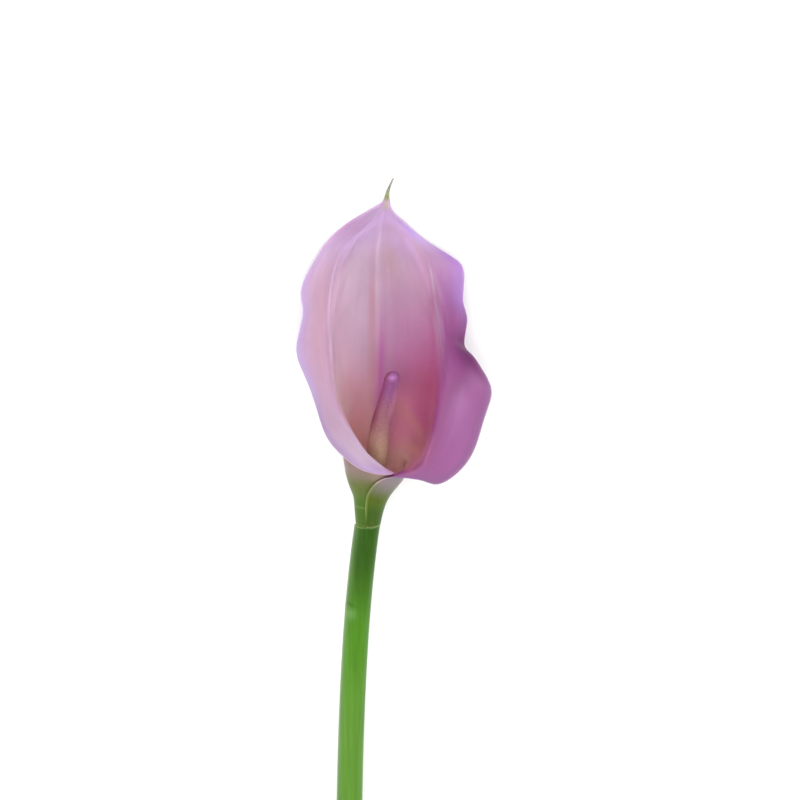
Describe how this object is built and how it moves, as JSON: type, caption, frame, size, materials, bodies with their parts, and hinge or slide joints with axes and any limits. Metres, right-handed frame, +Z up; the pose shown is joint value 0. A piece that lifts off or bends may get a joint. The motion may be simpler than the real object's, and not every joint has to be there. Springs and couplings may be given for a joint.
{
  "type": "calla lily flower",
  "caption": "Cut calla lily lying on its back: a rolled, flared spathe with a thin awn at its tip, a finger-like spadix inside, and a bare stem.",
  "frame": {"origin": "centre of the bounding box's bottom face, on the surface the flower lies on", "axes": "+Y along the stem from its cut end towards the tip of the spathe, +X to the flower's right as its open face is seen, +Z up, out of the open face"},
  "size_m": [0.062, 0.3006, 0.0294],
  "materials": {
    "spathe": "soft satin petal, violet-pink running to green at its base",
    "spadix": "fine-grained, olive yellow to purple",
    "stem": "smooth satin green"
  },
  "bodies": {
    "root": {"spathe": "spathe", "spadix": "spadix", "stem": "stem"}
  },
  "joints": []
}
